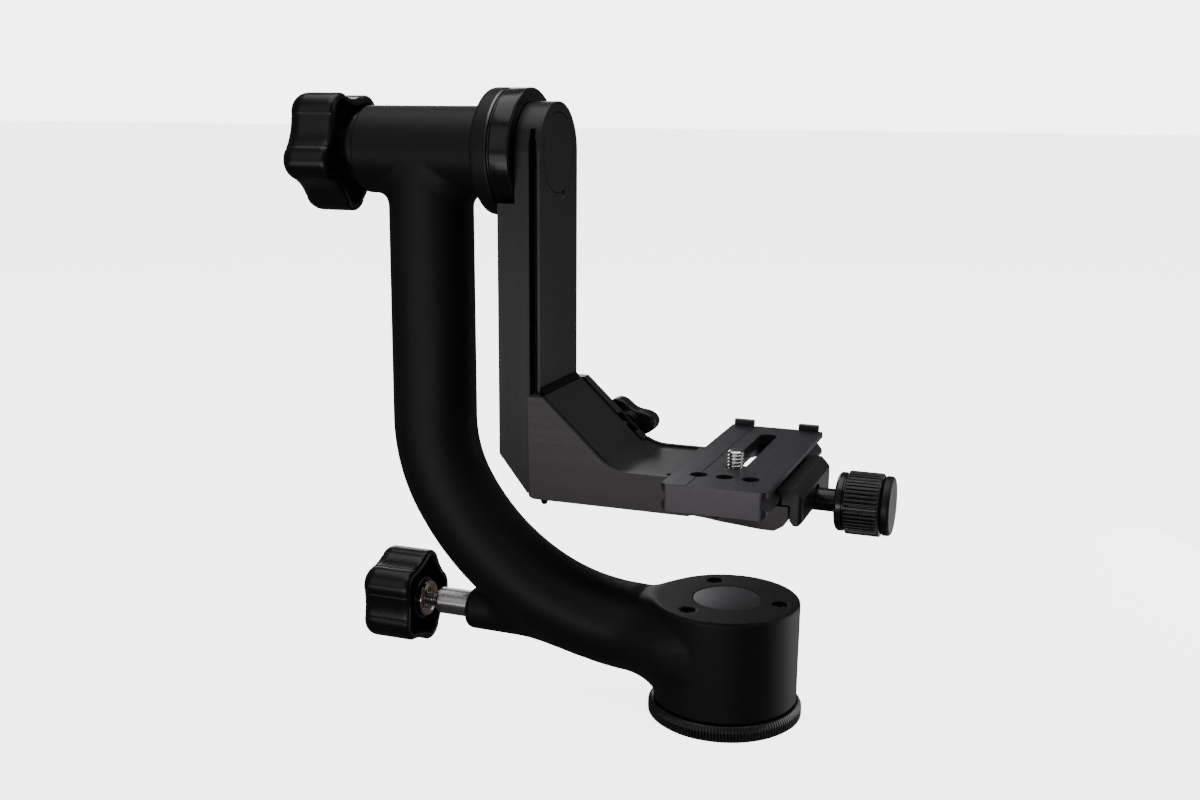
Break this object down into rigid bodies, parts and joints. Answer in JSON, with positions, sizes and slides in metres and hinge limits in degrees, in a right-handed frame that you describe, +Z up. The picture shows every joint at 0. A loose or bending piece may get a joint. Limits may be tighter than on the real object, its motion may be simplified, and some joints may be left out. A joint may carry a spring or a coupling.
{
  "type": "gimbal tripod head",
  "caption": "Gooseneck gimbal head: panning base, curved arm, tilting drop rail, height-adjustable platform with dovetail clamp and slotted lens plate, lobed lock knobs.",
  "frame": {"origin": "on the pan axis, in the plane of the underside of the knurled base disc, where the tripod stud enters", "axes": "+Z up along the pan axis; +X along the tilt axis, from the arm towards the plate clamp's knob; +Y along the lens and plate direction, the height knob's side. Rest pose as in the picture: rail hanging straight down, platform at the bottom of the rail, all clamps closed"},
  "size_m": [0.2399, 0.097, 0.2388],
  "materials": {
    "coat": "fine textured black powder coat",
    "anodised": "satin black anodised",
    "anodised_plate": "satin black anodised, milled top",
    "gloss_anodised": "bright polished black anodised",
    "knob_plastic": "moulded, slight sheen",
    "steel": "turned",
    "dark_steel": "black oxide",
    "brass": "turned",
    "polymer": "low friction washer",
    "inner_aluminium": "plain machined, out of sight",
    "cap_inlay": "fine brushed inlay disc"
  },
  "bodies": {
    "base": {"knurled_base": "gloss_anodised", "pan_spindle": "steel", "spindle_washer": "steel", "spindle_bolt": "dark_steel"},
    "arm": {"gooseneck_arm": "coat", "bearing_carrier": "inner_aluminium", "pan_bearing_lower": "steel", "pan_bearing_upper": "steel", "base_cap_disc": "cap_inlay", "cap_screw_a": "dark_steel", "cap_screw_b": "dark_steel", "cap_screw_c": "dark_steel", "pan_lock_sleeve": "steel", "tilt_bearing_outer": "steel", "tilt_bearing_inner": "steel", "tilt_spacer": "inner_aluminium"},
    "pan_brake": {"pan_brake_shoe": "brass"},
    "pan_lock": {"pan_lock_stud": "steel", "pan_knob_insert": "brass", "pan_knob": "knob_plastic"},
    "swing": {"tilt_axle": "steel", "axle_screw": "dark_steel", "friction_washer": "polymer", "tilt_disc": "gloss_anodised", "swing_rail": "anodised", "rail_cap_disc": "cap_inlay", "rail_stop_screw": "dark_steel"},
    "tilt_brake": {"tilt_thrust_washer": "dark_steel"},
    "tilt_lock": {"tilt_knob_insert": "brass", "tilt_knob": "knob_plastic"},
    "platform": {"platform_bracket": "anodised"},
    "rail_clamp": {"rail_jaw": "anodised"},
    "height_lock": {"height_screw": "steel", "height_knob": "knob_plastic"},
    "plate_clamp": {"clamp_jaw": "anodised", "clamp_guide_pin_a": "steel", "clamp_guide_pin_b": "steel"},
    "clamp_lock": {"clamp_screw": "steel", "clamp_knob": "gloss_anodised", "clamp_knob_cap": "gloss_anodised"},
    "plate": {"lens_plate": "anodised_plate", "plate_stop_a": "anodised_plate", "plate_stop_b": "anodised_plate", "safety_screw_front": "dark_steel", "safety_screw_rear": "dark_steel"},
    "screw_carriage": {"screw_retainer": "dark_steel"},
    "screw": {"camera_screw": "steel"}
  },
  "joints": [
    {"name": "pan", "type": "hinge", "parent": "base", "child": "arm", "pos_m": [0, 0, 0], "axis": [0, 0, 1], "continuous": true},
    {"name": "pan_brake_slide", "type": "slide", "parent": "arm", "child": "pan_brake", "axis": [-1, 0, 0], "range_m": [0, 0.00375]},
    {"name": "pan_knob_turn", "type": "hinge", "parent": "pan_brake", "child": "pan_lock", "pos_m": [-0.141, 0, 0.029], "axis": [-1, 0, 0], "range_deg": [0, 1081]},
    {"name": "tilt", "type": "hinge", "parent": "arm", "child": "swing", "pos_m": [-0.085, 0, 0.2147], "axis": [1, 0, 0], "continuous": true},
    {"name": "tilt_brake_slide", "type": "slide", "parent": "swing", "child": "tilt_brake", "axis": [-1, 0, 0], "range_m": [0, 0.0025]},
    {"name": "tilt_knob_turn", "type": "hinge", "parent": "tilt_brake", "child": "tilt_lock", "pos_m": [-0.168, 0, 0.2147], "axis": [-1, 0, 0], "range_deg": [0, 721]},
    {"name": "platform_height", "type": "slide", "parent": "swing", "child": "platform", "axis": [0, 0, 1], "range_m": [0, 0.08]},
    {"name": "rail_clamp_slide", "type": "slide", "parent": "platform", "child": "rail_clamp", "axis": [0, 1, 0], "range_m": [0, 0.0012]},
    {"name": "height_knob_turn", "type": "hinge", "parent": "rail_clamp", "child": "height_lock", "pos_m": [-0.0512, 0.03, 0.105], "axis": [0, 1, 0], "range_deg": [0, 541]},
    {"name": "plate_clamp_slide", "type": "slide", "parent": "platform", "child": "plate_clamp", "axis": [1, 0, 0], "range_m": [0, 0.003]},
    {"name": "clamp_knob_turn", "type": "hinge", "parent": "plate_clamp", "child": "clamp_lock", "pos_m": [0.049, 0, 0.09], "axis": [1, 0, 0], "range_deg": [0, 1081]},
    {"name": "plate_slide", "type": "slide", "parent": "platform", "child": "plate", "axis": [0, 1, 0], "range_m": [-0.0165, 0.015]},
    {"name": "screw_slide", "type": "slide", "parent": "plate", "child": "screw_carriage", "axis": [0, 1, 0], "range_m": [0, 0.049]},
    {"name": "camera_screw_turn", "type": "hinge", "parent": "screw_carriage", "child": "screw", "pos_m": [0.0063, -0.0168, 0.098], "axis": [0, 0, 1], "continuous": true}
  ],
  "couplings": [
    {"joint": "pan_knob_turn", "follows": "pan_brake_slide", "rad_per_m": 5026.5},
    {"joint": "tilt_knob_turn", "follows": "tilt_brake_slide", "rad_per_m": 5026.5},
    {"joint": "height_knob_turn", "follows": "rail_clamp_slide", "rad_per_m": 7854},
    {"joint": "clamp_knob_turn", "follows": "plate_clamp_slide", "rad_per_m": 6283.2}
  ]
}
